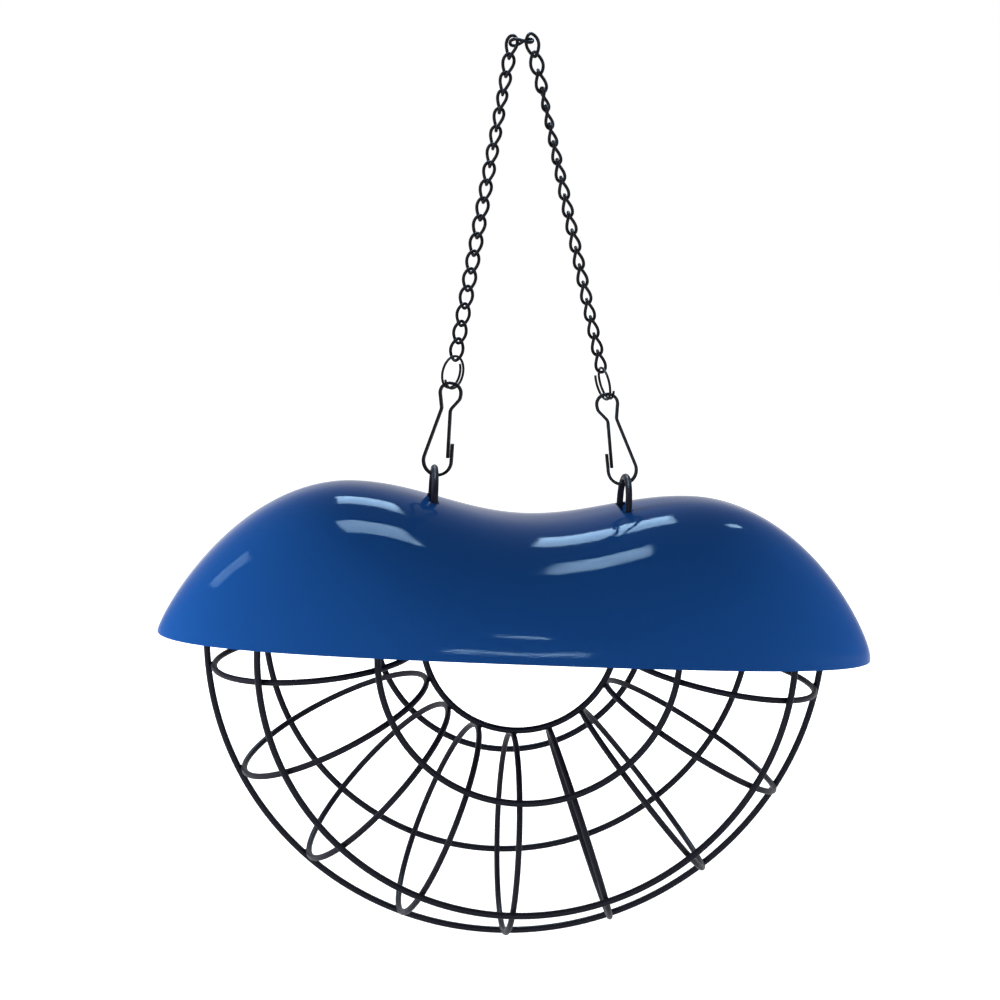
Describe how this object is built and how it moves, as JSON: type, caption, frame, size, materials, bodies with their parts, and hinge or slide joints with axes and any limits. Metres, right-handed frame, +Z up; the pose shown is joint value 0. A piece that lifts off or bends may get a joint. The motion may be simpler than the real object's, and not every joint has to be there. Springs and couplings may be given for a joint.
{
  "type": "fat ball feeder",
  "caption": "Hanging wild bird feeder: a round wire cage bent like a horseshoe holds fat balls under a saddle-shaped enamelled roof, on a chain with snap hooks.",
  "frame": {"origin": "middle of the chain's top link, where the feeder hangs on a branch or bracket", "axes": "+Z up, +X along the roof to the right, front towards -Y, hanging free as in the picture"},
  "size_m": [0.2853, 0.1174, 0.3589],
  "materials": {
    "roof": "gloss royal blue enamel",
    "cage_wire": "satin black coating",
    "hook": "satin black plated flat wire",
    "split_ring": "satin black plated wire",
    "chain": "satin black plated wire"
  },
  "bodies": {
    "chain_top": {"link_top": "chain", "link_left_01": "chain", "link_right_01": "chain"},
    "left_upper": {"link_left_02": "chain", "link_left_03": "chain", "link_left_04": "chain", "link_left_05": "chain", "link_left_06": "chain", "link_left_07": "chain", "link_left_08": "chain", "link_left_09": "chain", "link_left_10": "chain"},
    "right_upper": {"link_right_02": "chain", "link_right_03": "chain", "link_right_04": "chain", "link_right_05": "chain", "link_right_06": "chain", "link_right_07": "chain", "link_right_08": "chain", "link_right_09": "chain", "link_right_10": "chain", "link_right_11": "chain"},
    "left_lower": {"link_left_11": "chain", "link_left_12": "chain", "link_left_13": "chain", "link_left_14": "chain", "link_left_15": "chain", "link_left_16": "chain", "link_left_17": "chain", "link_left_18": "chain"},
    "right_lower": {"link_right_12": "chain", "link_right_13": "chain", "link_right_14": "chain", "link_right_15": "chain", "link_right_16": "chain", "link_right_17": "chain", "link_right_18": "chain", "link_right_19": "chain"},
    "left_hook": {"split_ring_left": "split_ring", "hook_left": "hook"},
    "right_hook": {"split_ring_right": "split_ring", "hook_right": "hook"},
    "cage": {"ring_outer": "cage_wire", "ring_front_outer": "cage_wire", "ring_front_inner": "cage_wire", "ring_inner": "cage_wire", "ring_back_inner": "cage_wire", "ring_back_outer": "cage_wire", "hoop_1": "cage_wire", "hoop_2": "cage_wire", "hoop_3": "cage_wire", "hoop_4": "cage_wire", "hoop_5": "cage_wire", "hoop_6": "cage_wire", "hoop_7": "cage_wire", "hoop_8": "cage_wire", "hoop_9": "cage_wire", "hanger_left": "cage_wire", "hanger_right": "cage_wire"},
    "roof": {"roof": "roof"}
  },
  "joints": [
    {"name": "left_chain_swing", "type": "hinge", "parent": "chain_top", "child": "left_upper", "pos_m": [-0.00471, 0, -0.00624], "axis": [0.9973, 0, 0.0728], "range_deg": [-14, 14]},
    {"name": "left_chain_bend", "type": "hinge", "parent": "left_upper", "child": "left_lower", "pos_m": [-0.01631, 0, -0.06661], "axis": [0.9877, 0, -0.1562], "range_deg": [-16, 16]},
    {"name": "left_hook_tilt", "type": "hinge", "parent": "left_lower", "child": "left_hook", "pos_m": [-0.02662, 0, -0.12027], "axis": [0.9956, 0, -0.0939], "range_deg": [-24, 24]},
    {"name": "right_chain_swing", "type": "hinge", "parent": "chain_top", "child": "right_upper", "pos_m": [0.00525, 0, -0.00552], "axis": [0.9973, 0, 0.0728], "range_deg": [-14, 14]},
    {"name": "right_chain_bend", "type": "hinge", "parent": "right_upper", "child": "right_lower", "pos_m": [0.01961, 0, -0.07229], "axis": [0.9877, 0, -0.1562], "range_deg": [-16, 16]},
    {"name": "right_hook_tilt", "type": "hinge", "parent": "right_lower", "child": "right_hook", "pos_m": [0.03109, 0, -0.12571], "axis": [0.9956, 0, -0.0939], "range_deg": [-24, 24]},
    {"name": "cage_swing", "type": "hinge", "parent": "left_hook", "child": "cage", "pos_m": [-0.03519, 0, -0.16483], "axis": [0.9976, 0, -0.069], "range_deg": [-40, 40]},
    {"name": "roof_lift", "type": "slide", "parent": "cage", "child": "roof", "axis": [0.069, 0, 0.9976], "range_m": [0, 0.007]}
  ],
  "couplings": [
    {"joint": "right_chain_swing", "follows": "left_chain_swing", "ratio": 1},
    {"joint": "right_chain_bend", "follows": "left_chain_bend", "ratio": 1},
    {"joint": "right_hook_tilt", "follows": "left_hook_tilt", "ratio": 1}
  ]
}
